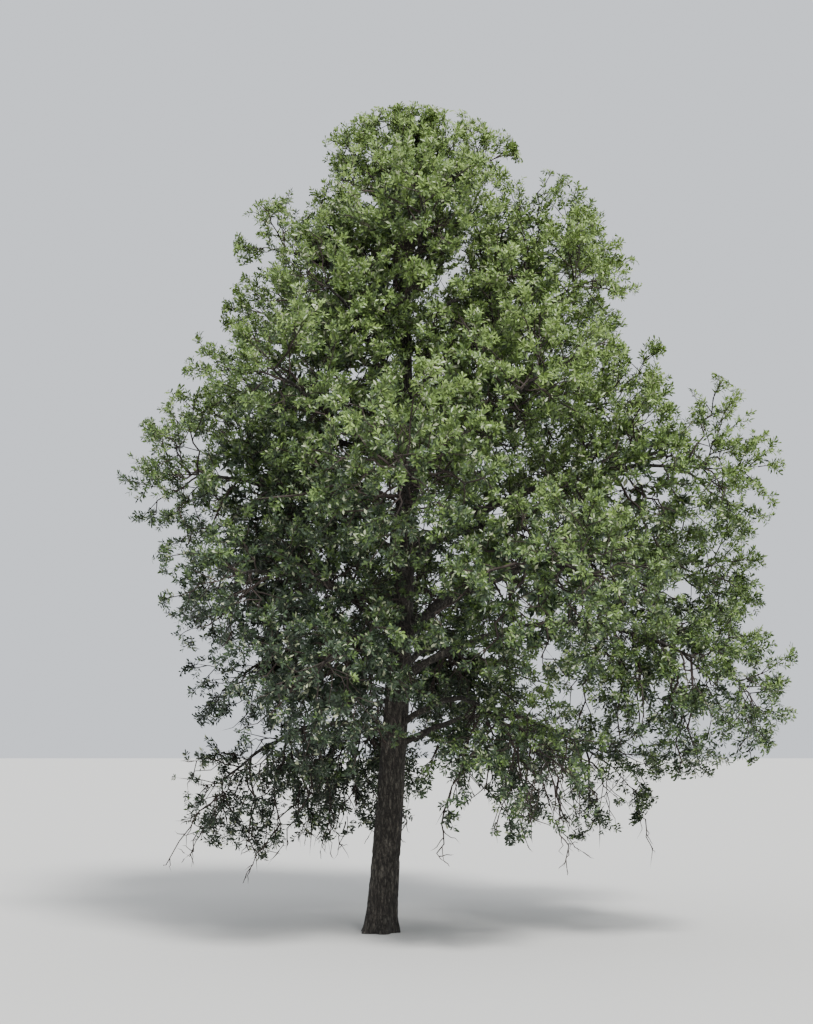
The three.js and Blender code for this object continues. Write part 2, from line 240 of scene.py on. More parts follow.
# Growing twigs, each order in one go
growth = {
    "seed": 7,
    "twigsPerMetre": 30,  # first twigs of a mass a metre in radius
    "fewestTwigs": 7,
    "twigSeeds": (101, 37),  # the first mass, and how far on the next one
    "twigReach": (0.60, 0.96),  # share of the room outwards
    "twigRoots": (0.06, 0.99),  # where twigs may leave the stem
    "twigRadius": (0.0155, 0.007, 0.016),  # of its length, least and most
    "twigTaper": 0.4,
    "twigStations": 8,
    "twigCrook": 0.034,
    "forward": 0.45,
    "roomShare": 0.94,  # of the room that a side twig may take
    "shortestShare": 0.3,  # of its full length, or it is left out
    "shootCount": 25200,  # kept in all, most of them near the outside
    "clumpScale": 3.1,  # clumps of leaves to a metre
    "clumpContrast": 1.9,
    "gapDepth": 0.45,  # how much barer the gaps between clumps are
    "openDepth": 0.80,  # and low on the left, where the crown is thin
    "openHeights": (1.7, 3.0),
    "openAcross": (-0.6, 0.3),
    "rimDepth": 0.92,  # and at the outside, so that clumps stand out of it
    "rim": (0.02, 0.16),  # metres below the outside
    "rimFade": 0.45,  # less so between these heights
    "rimFadeHeights": (2.4, 3.4, 5.2, 5.8),
    "strands": (1.15, 1.85),  # heights between which clumps turn into hanging strands
    "strandScale": (3.0, 2.0, 0.8),
    "strandDepth": 0.96,
    "strandContrast": 2,
    "strandGap": 0.06,
    "leavesPerShoot": 16,
    "leafLength": 0.042,
    "innerLeaves": 2.2,  # times as long in the core, to close it
    "innerDepth": (0.42, 0.95),  # where they begin to grow, and are longest
    "leafWidth": 0.38,  # of its length
    "facing": (0.85, 0.60, 0.42),  # how far leaves face outwards, upwards and any way
    "clearOfLimbs": 0.012,
    "shellDepth": 0.30,  # leafy as far in as this
    "coreDepth": 0.85,  # and from here nearly bare
    "coreShare": 0.24,
    "openShare": 1.5,  # of the shoots left where the crown is thin
    "sag": (0.16, 0.12, 0.07, 0.03),  # of the lowest tiers' twigs, of their length
    "rise": (-0.30, -0.20, -0.06, 0.04),  # and how far their side twigs turn up
    "riseElsewhere": 0.1,
    "trunkFront": (0.13, 0.24, 1.55, 2.05),  # x, half width and heights where the trunk shows through
    "trunkFrontShare": 0.3,
    "middle": 0.2,  # of the crown, in x
    "edge": (1.2, 2.5),  # metres from there, between which masses stand more and more alone
    "edgeCloser": 0.35,  # higher up they do so nearer to the trunk
    "edgeCloserFrom": 3.4,
    "topExtra": 0.6,  # and so they do at the top
    "topHeights": (5.2, 6.0),
    "edgeExtra": 1.5,  # and so are this much leafier
    "wholeLeaves": 0.07,  # share with a full outline, the outer ones
}
rng = np.random.default_rng(growth["seed"])
anyTurn = 6.283


def byTier(lowest, rest):  # one value for each tier, and for the top
    return np.array([*lowest, *[rest] * (len(tierTable) + 1 - len(lowest))])


tierOfMass = np.array([limb.tier for limb in limbs])
sagOfTier = byTier(growth["sag"], 0.0)
riseOfTier = byTier(growth["rise"], growth["riseElsewhere"])


def unit(v):
    return v / np.maximum(1e-9, np.linalg.norm(v, axis=-1, keepdims=True))


def turned(v, axis, angle):  # many vectors at once, each about its axis
    c, s = np.cos(angle)[..., None], np.sin(angle)[..., None]
    return v * c + np.cross(axis, v) * s + axis * (axis * v).sum(-1, keepdims=True) * (1 - c)


def acrossOf(direction, roll):  # a unit vector square to each direction, turned by its roll
    up = np.broadcast_to([0.0, 0.0, 1.0], direction.shape)
    isUpright = np.abs(direction[:, 2:3]) > 0.97
    sideways = np.where(isUpright, [[1.0, 0.0, 0.0]], np.cross(direction, up))
    across = unit(sideways - direction * (sideways * direction).sum(1, keepdims=True))
    return turned(across, direction, roll)


class Twigs:  # bent lines of one order: points (twigs, stations, 3), with radii at both ends
    def __init__(self, start, direction, length, mass, radius, tipRadius, stations, crook):
        n = len(start)
        self.mass, self.radius, self.tipRadius, self.length = mass, radius, tipRadius, length
        share = np.linspace(0, 1, stations)
        line = start[:, None, :] + direction[:, None, :] * (length[:, None] * share)[:, :, None]
        kinks = rng.normal(0, 1, (n, stations, 3)) * (length * crook)[:, None, None]
        kinks[:, 0] = 0
        self.points = line + kinks * np.minimum(1, share * 2)[None, :, None]

    def at(self, index, share):
        place = share * (self.points.shape[1] - 1)
        step = np.minimum(self.points.shape[1] - 2, place.astype(int))
        a, b = self.points[index, step], self.points[index, step + 1]
        return a + (b - a) * (place - step)[:, None], unit(b - a)

    def sag(self, shares):  # bends each down towards its tip, by a share of its length
        along = np.linspace(0, 1, self.points.shape[1])
        self.points[:, :, 2] -= (shares * self.length)[:, None] * along**2
        return self

    def keep(self, mask):
        for key in ("points", "mass", "radius", "tipRadius", "length"):
            setattr(self, key, getattr(self, key)[mask])
        return self


# Points on every limb, to keep twigs and leaves off them
limbPoints, pointSpacing = [], 0.03
for z in np.arange(0.0, trunk["height"], pointSpacing):
    limbPoints.append((trunkPoint(z), trunkRadius(z)))
for limb in limbs:
    for share in np.arange(0.0, 1.0, pointSpacing / limb.length):
        limbPoints.append((limb.at(share), limbRadius(limb, share)))
limbTree = kdtree.KDTree(len(limbPoints))
for index, (place, radius) in enumerate(limbPoints):
    limbTree.insert(place, index)
limbTree.balance()


def isClear(points):
    clear = np.ones(len(points), bool)
    for k, point in enumerate(points):
        _, index, away = limbTree.find(point)
        clear[k] = away > limbPoints[index][1] + growth["clearOfLimbs"]
    return clear


def firstTwigs():
    starts, ends, masses = [], [], []
    firstSeed, seedStep = growth["twigSeeds"]
    for number, limb in enumerate(limbs):
        count = max(growth["fewestTwigs"], round(growth["twigsPerMetre"] * limb.size))
        root = limb.at(limb.split)
        run = limb.at(1) - root
        chance = Chance(firstSeed + seedStep * number)
        for k in range(count):
            height = 1 - (2 * k + 1) / count
            level = math.sqrt(1 - height * height)
            turn = (k - (count - 1) / 2) * goldenTurn + limb.bearing
            rise = height / limbShape["flatten"]
            outward = np.array([math.cos(turn) * level, math.sin(turn) * level, rise])
            room = roomAlong(np.array([number]), limb.centre[None], outward[None])[0]
            low, high = growth["twigReach"]
            end = limb.centre + outward * room * (low + (high - low) * chance())
            beyond = end - root
            beside = beyond @ run / (run @ run)
            gap = np.linalg.norm(beyond - run * beside)
            leaving = beside - growth["forward"] * gap / np.linalg.norm(run)
            leaving = np.clip(leaving, *growth["twigRoots"])
            starts.append(limb.at(limb.split + (1 - limb.split) * leaving))
            ends.append(end)
            masses.append(number)
    starts, ends = np.array(starts), np.array(ends)
    length = np.linalg.norm(ends - starts, axis=1)
    thickness, thinnest, thickest = growth["twigRadius"]
    radius = np.clip(length * thickness, thinnest, thickest)
    masses = np.array(masses)
    twigs = Twigs(
        starts, unit(ends - starts), length, masses, radius, radius * growth["twigTaper"],
        growth["twigStations"], growth["twigCrook"],
    )
    return twigs.sag(sagOfTier[tierOfMass[masses]])


sideForm = {  # twigs on the first twigs
    "count": 6,
    "from": 0.22,  # share of the parent that is left bare
    "spread": (0.5, 1.1),  # angles to the parent, the last one less
    "length": 0.36,
    "atRoot": 1.2,  # times as long, less further out by the loss
    "loss": 0.45,
    "radii": (0.005, 0.0022),
    "stations": 4,
    "crook": 0.05,
    "inMass": True,
}
shootForm = {  # and shoots on those, more than are kept
    "count": 15,
    "from": 0.3,
    "spread": (0.5, 1.15),
    "length": 0.08,
    "atRoot": 1,
    "loss": 0,
    "radii": (0.0019, 0.001),
    "stations": 2,
    "crook": 0,
    "inMass": True,
}


def sideTwigs(parent, form, upward):
    n, count = len(parent.points), form["count"]
    index = np.repeat(np.arange(n), count)
    k = np.tile(np.arange(count), n)
    share = form["from"] + (1 - form["from"]) * (k + rng.uniform(0.1, 0.9, n * count)) / count
    start, along = parent.at(index, share)
    roll = k * goldenTurn + np.repeat(rng.uniform(0, anyTurn, n), count)
    angle = rng.uniform(*form["spread"], n * count) * np.where(k == count - 1, 0.3, 1)
    direction = turned(along, acrossOf(along, roll), angle)
    mass = parent.mass[index]
    direction = unit(direction + np.array([0, 0, 1.0]) * upward[tierOfMass[mass]][:, None])
    fullLength = form["length"] * (form["atRoot"] - form["loss"] * share)
    length = fullLength * rng.uniform(0.65, 1.15, n * count)
    if form["inMass"]:
        length = np.minimum(length, roomAlong(mass, start, direction) * growth["roomShare"])
    radius, tipRadius = (np.full(n * count, r) for r in form["radii"])
    twigs = Twigs(start, direction, length, mass, radius, tipRadius, form["stations"], form["crook"])
    return twigs.keep(length > fullLength * growth["shortestShare"])


def depthInCrown(points):  # below the outside of the whole crown
    deepest = np.full(len(points), -1.0)
    for centre, size in zip(centres, sizes):
        deepest = np.maximum(deepest, size - np.linalg.norm((points - centre) * stretch, axis=1))
    return deepest


def ramp(values, low, high):  # from 0 to 1
    return ((values - low) / (high - low)).clip(0, 1)


def falling(values, low, high):  # from 1 to 0
    return ramp(-values, -high, -low)


def openness(points):  # from 0 to 1 low on the left, where sky shows through the crown
    return falling(points[:, 2], *growth["openHeights"]) * falling(points[:, 0], *growth["openAcross"])


def hangingShare(points):  # from 0 to 1 towards the lower edge of the crown, but not on the left
    return falling(points[:, 2], *growth["strands"]) * (1 - openness(points))


def clumping(points):  # from 0 in the gaps between clumps of leaves to 1 inside them
    clumps = np.array([noise.noise(Vector(p)) for p in points * growth["clumpScale"]])
    strands = np.array([noise.noise(Vector(p)) for p in points * growth["strandScale"]])
    strands = strands * growth["strandContrast"] - growth["strandGap"]
    field = clumps + (strands - clumps) * hangingShare(points)
    return (field * growth["clumpContrast"] + 0.5).clip(0, 1)


def leafiness(points):
    depth = depthInCrown(points)
    core = ramp(depth, growth["shellDepth"], growth["coreDepth"])
    rim = 1 - ramp(depth, *growth["rim"])
    thin = openness(points)
    gap = growth["gapDepth"] * (1 - core) * (1 - thin) + growth["openDepth"] * thin
    low, full, fading, high = growth["rimFadeHeights"]
    smoother = ramp(points[:, 2], low, full) * falling(points[:, 2], fading, high)
    rim *= growth["rimDepth"] * (1 - growth["rimFade"] * smoother)
    gap = np.maximum(gap, np.maximum(rim, growth["strandDepth"] * hangingShare(points)))
    share = (1 - core * (1 - growth["coreShare"])) * (1 - thin * (1 - growth["openShare"]))
    middle, halfWidth, low, high = growth["trunkFront"]
    inFront = (np.abs(points[:, 0] - middle) < halfWidth) & (points[:, 1] < 0)
    share *= 1 - (1 - growth["trunkFrontShare"]) * inFront * falling(points[:, 2], low, high)
    outwards = np.hypot(points[:, 0] - growth["middle"], points[:, 1])
    outwards *= 1 + growth["edgeCloser"] * np.maximum(0, points[:, 2] - growth["edgeCloserFrom"])
    atTop = growth["topExtra"] * ramp(points[:, 2], *growth["topHeights"])
    alone = np.maximum(ramp(outwards, *growth["edge"]), atTop) * (1 - thin / 2)
    return share * (1 - gap * (1 - clumping(points))) * (1 + growth["edgeExtra"] * alone)


def thinned(shoots, count):  # keeps about so many, by how leafy each place is
    share = leafiness(shoots.points[:, -1])
    scale = count / share.sum()
    return shoots.keep(rng.uniform(0, 1, len(share)) < share * scale)


first = firstTwigs()
second = sideTwigs(first, sideForm, riseOfTier)
third = sideTwigs(second, shootForm, riseOfTier)
for order in (second, third):
    order.keep(isInside(order.mass, order.points[:, -1]))
third.keep(isClear(third.points[:, -1]))
thinned(third, growth["shootCount"])
report(f"twigs of three orders: {len(first.points)}, {len(second.points)}, {len(third.points)}")


# Bare twigs hang out of the lowest masses, most of them on the left
hanging = {
    "left": 11,  # to a mass, by its side of the trunk
    "right": 3,
    "tipHeight": (0.44, 0.62),
    "outward": (0.05, 0.35, 0.9),  # least, most on the right, most on the left
    "scatter": 0.15,
    "below": 0.1,  # the middle of the mass, where their parents end
    "fromStations": (5, 8),
    "longest": 0.75,
    "shortest": 0.12,
    "radius": (0.0080, 0.0034),
    "stations": 8,
    "crook": 0.05,
    "clearOfTrunk": 0.24,
    "trunkAt": 0.06,  # its x at their height
    "forkFloor": 0.03,  # how far forks may end below the lowest tip
}
forkForm = {
    "count": 5,
    "from": 0.3,
    "spread": (0.5, 1.0),
    "length": 0.24,
    "atRoot": 1.3,
    "loss": 1,
    "radii": (0.0048, 0.0020),
    "stations": 5,
    "crook": 0.06,
    "inMass": False,
}


def hangingTwigs():
    starts, directions, lengths, masses = [], [], [], []
    for number, limb in enumerate(limbs):
        if limb.tier > 0:
            continue
        lower = first.points[:, -1, 2] < limb.centre[2] - hanging["below"]
        parents = np.flatnonzero((first.mass == number) & lower)
        isLeft = limb.centre[0] < 0
        wanted = hanging["left"] if isLeft else hanging["right"]
        least, rightMost, leftMost = hanging["outward"]
        for parent in rng.permutation(parents)[:wanted]:
            place = first.points[parent, rng.integers(*hanging["fromStations"])]
            outward = place[:2] - trunkPoint(place[2])[:2]
            lean = rng.uniform(least, leftMost if isLeft else rightMost) * outward / np.linalg.norm(outward)
            direction = unit(np.array([*(lean + rng.normal(0, hanging["scatter"], 2)), -1.0]))
            starts.append(place)
            directions.append(direction)
            length = (place[2] - rng.uniform(*hanging["tipHeight"])) / -direction[2]
            lengths.append(min(length, hanging["longest"]))
            masses.append(number)
    count = len(starts)
    thick, thin = (np.full(count, radius) for radius in hanging["radius"])
    stalks = Twigs(
        np.array(starts), np.array(directions), np.array(lengths), np.array(masses), thick, thin,
        hanging["stations"], hanging["crook"],
    )
    away = np.hypot(stalks.points[:, :, 0] - hanging["trunkAt"], stalks.points[:, :, 1]).min(axis=1)
    stalks.keep((away > hanging["clearOfTrunk"]) & (stalks.length > hanging["shortest"]))
    forks = sideTwigs(stalks, forkForm, byTier((), 0.0))
    return stalks, forks.keep(forks.points[:, -1, 2] > hanging["tipHeight"][0] - hanging["forkFloor"])


stalks, forks = hangingTwigs()
report(f"bare twigs {len(stalks.points)}, with {len(forks.points)} forks")


# Leaves in sprays at the shoots
spray = {
    "tipLeaves": 6,  # close together at the tip
    "tipStep": 0.04,  # of the shoot's length
    "step": 0.11,
    "stepFrom": 3.8,
    "lowest": 0.1,
    "tipAngle": 0.25,
    "angles": (0.65, 1.3),
    "upward": 0.1,
    "lengths": (0.72, 1.2),
    "middleHeight": 3.0,  # leaves face away from the trunk here
}


def planLeaves(shoots):
    n, count = len(shoots.points), growth["leavesPerShoot"]
    index = np.repeat(np.arange(n), count)
    k = np.tile(np.arange(count), n)
    nearTip, further = 1.0 - spray["tipStep"] * k, 1.0 - spray["step"] * (k - spray["stepFrom"])
    share = np.where(k < spray["tipLeaves"], nearTip, further).clip(spray["lowest"], 1)
    root, along = shoots.at(index, share)
    roll = k * goldenTurn + np.repeat(rng.uniform(0, anyTurn, n), count)
    angle = np.where(k == 0, spray["tipAngle"], rng.uniform(*spray["angles"], n * count))
    direction = turned(along, acrossOf(along, roll), angle)
    direction = unit(direction + np.array([0, 0, spray["upward"]]))
    mass = shoots.mass[index]
    larger = 1 + (growth["innerLeaves"] - 1) * ramp(depthInCrown(root), *growth["innerDepth"])
    length = growth["leafLength"] * larger * rng.uniform(*spray["lengths"], n * count)
    tip = root + direction * length[:, None]
    kept = isInside(mass, tip)
    outwards, upwards, anyWay = growth["facing"]
    facing = unit((root - trunkPoint(spray["middleHeight"])) * [1, 1, 0]) * outwards
    facing = facing + rng.normal(0, anyWay, root.shape)
    facing[:, 2] += upwards
    facing = unit(facing - direction * (facing * direction).sum(1, keepdims=True))
    return {
        "root": root[kept], "direction": direction[kept], "facing": facing[kept],
        "length": length[kept], "spray": index[kept], "mass": mass[kept],
    }


leaves = planLeaves(third)
report(f"planned {len(leaves['root'])} leaves")


# Looks
class Wire:  # a socket in a material's node tree that can be used in sums
    def __init__(self, look, socket):
        self.look, self.socket = look, socket

    def sum(self, operation, a, b):
        return self.look.node("ShaderNodeMath", {"operation": operation}, {0: a, 1: b})

    def __add__(self, other):
        return self.sum("ADD", self, other)

    def __radd__(self, other):
        return self.sum("ADD", other, self)

    def __sub__(self, other):
        return self.sum("SUBTRACT", self, other)

    def __rsub__(self, other):
        return self.sum("SUBTRACT", other, self)

    def __mul__(self, other):
        return self.sum("MULTIPLY", self, other)

    def __rmul__(self, other):
        return self.sum("MULTIPLY", other, self)

    def __pow__(self, other):
        return self.sum("POWER", self, other)

    def size(self):
        return self.look.node("ShaderNodeMath", {"operation": "ABSOLUTE"}, {0: self})

    def held(self):  # kept between 0 and 1
        return self.look.node("ShaderNodeClamp", {}, {"Value": self})


class Look:  # a material and its nodes
    def __init__(self, name):
        self.material = bpy.data.materials.new(name)
        self.material.use_nodes = True
        self.tree = self.material.node_tree
        self.shader = self.tree.nodes["Principled BSDF"]
        self.place = self.node("ShaderNodeTexCoord", {}, {}, "Object")

    def node(self, kind, settings, inputs, output=0):
        made = self.tree.nodes.new(kind)
        for key, value in settings.items():
            setattr(made, key, value)
        self.fill(made, inputs)
        return Wire(self, made.outputs[output])

    def fill(self, node, inputs):
        for key, value in inputs.items():
            if isinstance(value, Wire):
                self.tree.links.new(value.socket, node.inputs[key])
            else:
                node.inputs[key].default_value = value

    def stretched(self, scale):
        return self.node("ShaderNodeMapping", {}, {"Vector": self.place, "Scale": scale})

    def noise(self, vector, scale, detail, roughness):
        return self.node(
            "ShaderNodeTexNoise", {},
            {"Vector": vector, "Scale": scale, "Detail": detail, "Roughness": roughness},
        )

    def mixed(self, share, a, b):  # of two colours
        return self.node("ShaderNodeMix", {"data_type": "RGBA"}, {0: share, 6: a, 7: b}, 2)

    def finish(self, inputs):
        self.fill(self.shader, inputs)
        return self.material


barkColours = {
    # nearly black in the fissures: the bark's own darker cracks, with painted shade in them
    "creviceDarkAndShade": (0.009, 0.007, 0.006, 1),
    "ridge": (0.108, 0.093, 0.075, 1),
    "weathered": (0.205, 0.190, 0.156, 1),
    "fleck": (0.340, 0.330, 0.265, 1),
    "fissureScale": 34.0,
    "fissureStretch": 0.20,
    "plateScale": 40.0,
    "plateStretch": 0.38,
    "plateDrift": (0.030, 0.030, 0.045),
    "driftScale": 26.0,
    "grainScale": 160.0,
    "patchScale": 5.0,
    "speckScale": 75.0,
    "relief": 0.8,
    "reliefDepth": 0.012,
}


def barkLook():
    look = Look("barkFissured")
    tall = look.stretched((1, 1, barkColours["fissureStretch"]))
    wander = look.noise(tall, barkColours["fissureScale"], 5.0, 0.6)
    furrow = ((wander - 0.5).size() * 6.5).held() ** 0.8
    drift = look.node(
        "ShaderNodeTexNoise", {},
        {"Vector": look.place, "Scale": barkColours["driftScale"], "Detail": 2.0}, "Color",
    )
    drifted = look.node(
        "ShaderNodeVectorMath", {"operation": "MULTIPLY_ADD"},
        {0: drift, 1: barkColours["plateDrift"], 2: look.stretched((1, 1, barkColours["plateStretch"]))},
    )
    edge = look.node(
        "ShaderNodeTexVoronoi", {"feature": "DISTANCE_TO_EDGE"},
        {"Vector": drifted, "Scale": barkColours["plateScale"]}, "Distance",
    )
    ridge = furrow * (0.25 + (edge * 5.0).held() * 0.75)
    grain = look.noise(look.stretched((1, 1, 0.3)), barkColours["grainScale"], 3.0, 0.6)
    patches = look.noise(look.place, barkColours["patchScale"], 3.0, 0.55)
    weather = ((patches - 0.42) * 3.0).held() * 0.7
    worn = look.mixed(weather, barkColours["ridge"], barkColours["weathered"])
    specks = look.noise(look.stretched((1, 1, 0.5)), barkColours["speckScale"], 2.0, 0.6)
    flecked = look.mixed(((specks - 0.58) * 9.0).held() * 0.55, worn, barkColours["fleck"])
    # ridges lighter, fissures nearly black: their own darker bark and painted shade
    colour = look.mixed(ridge, barkColours["creviceDarkAndShade"], flecked)
    speckled = look.mixed((grain * 0.45).held(), colour, barkColours["creviceDarkAndShade"])
    bump = look.node(
        "ShaderNodeBump", {},
        {
            "Strength": barkColours["relief"], "Distance": barkColours["reliefDepth"],
            "Height": ridge + grain * 0.25,
        },
    )
    return look.finish({"Base Color": speckled, "Roughness": 0.98 - ridge * 0.12, "Normal": bump})


twigColours = {
    "dark": (0.022, 0.014, 0.011, 1),
    "worn": (0.072, 0.052, 0.042, 1),
    "patchScale": 9.0,
    "fineScale": 90.0,
    "relief": 0.3,
    "reliefDepth": 0.003,
}


def twigLook():
    look = Look("twigBark")
    patches = look.noise(look.place, twigColours["patchScale"], 3.0, 0.6)
    fine = look.noise(look.stretched((1, 1, 0.4)), twigColours["fineScale"], 2.0, 0.5)
    colour = look.mixed(((patches - 0.35) * 2.2).held(), twigColours["dark"], twigColours["worn"])
    bump = look.node(
        "ShaderNodeBump", {},
        {"Strength": twigColours["relief"], "Distance": twigColours["reliefDepth"], "Height": fine},
    )
    return look.finish({"Base Color": colour, "Roughness": 0.75 + fine * 0.2, "Normal": bump})


leafFinish = {"patchScale": 14.0, "roughness": 0.26, "rougher": 0.2, "shine": 0.42}


def leafLook(name, colour, shade):  # shade is how dark its darker patches are
    look = Look(name)
    patches = look.noise(look.place, leafFinish["patchScale"], 2.0, 0.5)
    dark = tuple(c * shade for c in colour)
    bright = tuple(c * (2 - shade) for c in colour)
    mixed = look.mixed(((patches - 0.3) * 2.5).held(), (*dark, 1), (*bright, 1))
    rough = leafFinish["roughness"] + patches * leafFinish["rougher"]
    return look.finish({"Base Color": mixed, "Roughness": rough, "Specular IOR Level": leafFinish["shine"]})


bark, twigBark = barkLook(), twigLook()
report("bark looks made")


# Trunk and limbs, with the bark's relief
bole = {
    "sides": 48,
    "rings": 230,
    "crowding": 1.25,  # of the rings towards the foot
    "relief": 0.0075,
    "fissures": 30.0,  # to a metre round the trunk, and along it
    "fissuresAlong": 5.5,
    "fissureSharpness": 3.2,
    "finer": 2.3,
    "finerAlong": 16.0,
    "fineShare": 0.4,
    "ridgeLevel": 0.75,
    "fineLevel": 0.6,
    "knots": 0.004,
    "knotScale": (6, 1.7),
}
limbSkin = {
    "sides": 10,
    "fewestRings": 6,
    "ringSpacing": 0.045,
    "relief": 0.0015,
    "roughScales": (38, 90),
    "fineShare": 0.6,
    "wobble": 0.014,
    "wobbleScale": 7,
    "wobbleFrom": 0.2,  # metres from the trunk where it is full
    "end": 0.7,  # how much thinner the last ring is
}


def ringExtruded(bm, edges, change):  # draws a new ring out of the last one
    made = bmesh.ops.extrude_edge_only(bm, edges=edges)["geom"]
    verts = [g for g in made if isinstance(g, bmesh.types.BMVert)]
    bmesh.ops.transform(bm, matrix=change, verts=verts)
    fresh = set(verts)
    return [g for g in made if isinstance(g, bmesh.types.BMEdge) and fresh.issuperset(g.verts)]


def growTube(bm, matrices, sides):  # a closed skin through rings that each matrix places and sizes
    circle = bmesh.ops.create_circle(bm, cap_ends=True, segments=sides, radius=1, matrix=matrices[0])
    verts = circle["verts"]
    ring = [e for e in {e for v in verts for e in v.link_edges}]
    for before, after in zip(matrices, matrices[1:]):
        ring = ringExtruded(bm, ring, after @ before.inverted())
    bmesh.ops.edgeloop_fill(bm, edges=ring)
    return verts


def pieceFrom(bm, name, material, smooth):
    bmesh.ops.recalc_face_normals(bm, faces=bm.faces)
    mesh = bpy.data.meshes.new(name)
    bm.to_mesh(mesh)
    bm.free()
    mesh.materials.append(material)
    for polygon in mesh.polygons:
        polygon.use_smooth = smooth
    piece = bpy.data.objects.new(name, mesh)
    bpy.context.scene.collection.objects.link(piece)
    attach(piece, "root")
    return piece


def fissure(point, across, tall):  # from 0 in a crack to 1 on a ridge
    wander = noise.noise(Vector((point.x * across, point.y * across, point.z * tall)))
    return min(1.0, abs(wander) * bole["fissureSharpness"])


def makeTrunk():
    bm = bmesh.new()
    matrices = []
    for ring in range(bole["rings"] + 1):
        z = trunk["height"] * (ring / bole["rings"]) ** bole["crowding"]
        radius = trunkRadius(z)
        place = Matrix.Translation(Vector(trunkPoint(z)))
        matrices.append(place @ Matrix.Diagonal((radius, radius, 1, 1)))
    growTube(bm, matrices, bole["sides"])
    for vert in bm.verts:
        z = vert.co.z
        middle = Vector(trunkPoint(z))
        away = vert.co - middle
        if away.length < tiny:
            continue
        turn = math.atan2(away.y, away.x)
        fade = math.exp(-z / trunk["flareHeight"])
        buttress = trunk["buttressDepth"] * fade * math.cos(trunk["buttresses"] * turn)
        share = min(1.0, trunkRadius(z) / trunk["radius"])
        around = Vector((math.cos(turn), math.sin(turn), 0)) * (trunk["radius"] * share)
        crack = fissure(Vector((around.x, around.y, z)), bole["fissures"], bole["fissuresAlong"])
        elsewhere = Vector((around.x + 3, around.y, z))
        fine = fissure(elsewhere, bole["fissures"] * bole["finer"], bole["finerAlong"])
        across, along = bole["knotScale"]
        swell = noise.noise(Vector((around.x * across, around.y * across, z * along)))
        grown = (crack - bole["ridgeLevel"]) * bole["relief"]
        grown += (fine - bole["fineLevel"]) * bole["relief"] * bole["fineShare"]
        grown += swell * bole["knots"]
        vert.co = middle + away.normalized() * (away.length * (1 + buttress) + grown * share)
    return pieceFrom(bm, "trunkBark", bark, True)


def limbMatrices(limb):
    count = max(limbSkin["fewestRings"], round(limb.length / limbSkin["ringSpacing"]))
    shares = np.linspace(0, 1, count + 1)
    points = limb.at(shares)
    matrices, side = [], Vector((0, 0, 1))
    for k, share in enumerate(shares):
        ahead = Vector(points[min(count, k + 1)] - points[max(0, k - 1)]).normalized()
        side = (side - ahead * side.dot(ahead)).normalized()
        spot = Vector(points[k]) * limbSkin["wobbleScale"]
        wobble = Vector([noise.noise(spot + Vector((j * 9, 0, 0))) for j in range(3)])
        grown = min(1, share * limb.length / limbSkin["wobbleFrom"])
        place = Vector(points[k]) + wobble * limbSkin["wobble"] * grown
        radius = limbRadius(limb, share) * (1 if k < count else limbSkin["end"])
        turn = Matrix((side, ahead.cross(side), ahead)).transposed().to_4x4()
        matrices.append(Matrix.Translation(place) @ turn @ Matrix.Diagonal((radius, radius, 1, 1)))
    return matrices


def makeLimbs():
    bm = bmesh.new()
    for limb in limbs:
        growTube(bm, limbMatrices(limb), limbSkin["sides"])
    coarse, fine = limbSkin["roughScales"]
    for vert in bm.verts:
        rough = noise.noise(vert.co * coarse) + limbSkin["fineShare"] * noise.noise(vert.co * fine)
        vert.co += vert.normal * rough * limbSkin["relief"]
    return pieceFrom(bm, "boughBark", bark, True)


trunkPiece = makeTrunk()
boughPiece = makeLimbs()
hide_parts("trunk")
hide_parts(*[n for n in nodeNames if n.startswith("bough")])
report(f"trunk {len(trunkPiece.data.polygons)} faces, limbs {len(boughPiece.data.polygons)} faces")


# Twigs and leaves, joined from arrays
def pieceFromArrays(name, points, faces, material, slotName):
    mesh = bpy.data.meshes.new(name)
    mesh.vertices.add(len(points))
    mesh.vertices.foreach_set("co", np.ascontiguousarray(points, dtype=np.float32).ravel())
    mesh.loops.add(faces.size)
    mesh.loops.foreach_set("vertex_index", np.ascontiguousarray(faces, dtype=np.int32).ravel())
    mesh.polygons.add(len(faces))
    mesh.polygons.foreach_set("loop_start", np.arange(0, faces.size, faces.shape[1], dtype=np.int32))
    mesh.update(calc_edges=True)
    mesh.materials.append(material)
    piece = bpy.data.objects.new(name, mesh)
    bpy.context.scene.collection.objects.link(piece)
    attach(piece, "root")
    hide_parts(*[n for n in nodeNames if n.startswith("foliage")])
    return piece


def skinOf(twigs):  # three-sided skins that close to a point at the tip
    n, stations, _ = twigs.points.shape
    ahead = unit(np.gradient(twigs.points, axis=1))
    side = acrossOf(ahead[:, 0], np.zeros(n))
    rings = []
    for k in range(stations - 1):
        side = unit(side - ahead[:, k] * (side * ahead[:, k]).sum(1, keepdims=True))
        other = np.cross(ahead[:, k], side)
        radius = twigs.radius + (twigs.tipRadius - twigs.radius) * k / (stations - 1)
        for turn in (0, 2 * math.pi / 3, 4 * math.pi / 3):
            around = side * math.cos(turn) + other * math.sin(turn)
            rings.append(twigs.points[:, k] + around * radius[:, None])
    points = np.stack([*rings, twigs.points[:, -1]], axis=1)
    faces = [[2, 1, 0]]
    for k in range(stations - 2):
        for j in range(3):
            a, b = 3 * k + j, 3 * k + (j + 1) % 3
            faces += [[a, b, b + 3], [a, b + 3, a + 3]]
    last = 3 * (stations - 2)
    faces += [[last + j, last + (j + 1) % 3, last + 3] for j in range(3)]
    faces = np.array(faces)[None] + np.arange(n)[:, None, None] * points.shape[1]
    return points.reshape(-1, 3), faces.reshape(-1, 3)


def joined(parts):
    points, faces, base = [], [], 0
    for p, f in parts:
        points.append(p)
        faces.append(f + base)
        base += len(p)
    return np.concatenate(points), np.concatenate(faces)


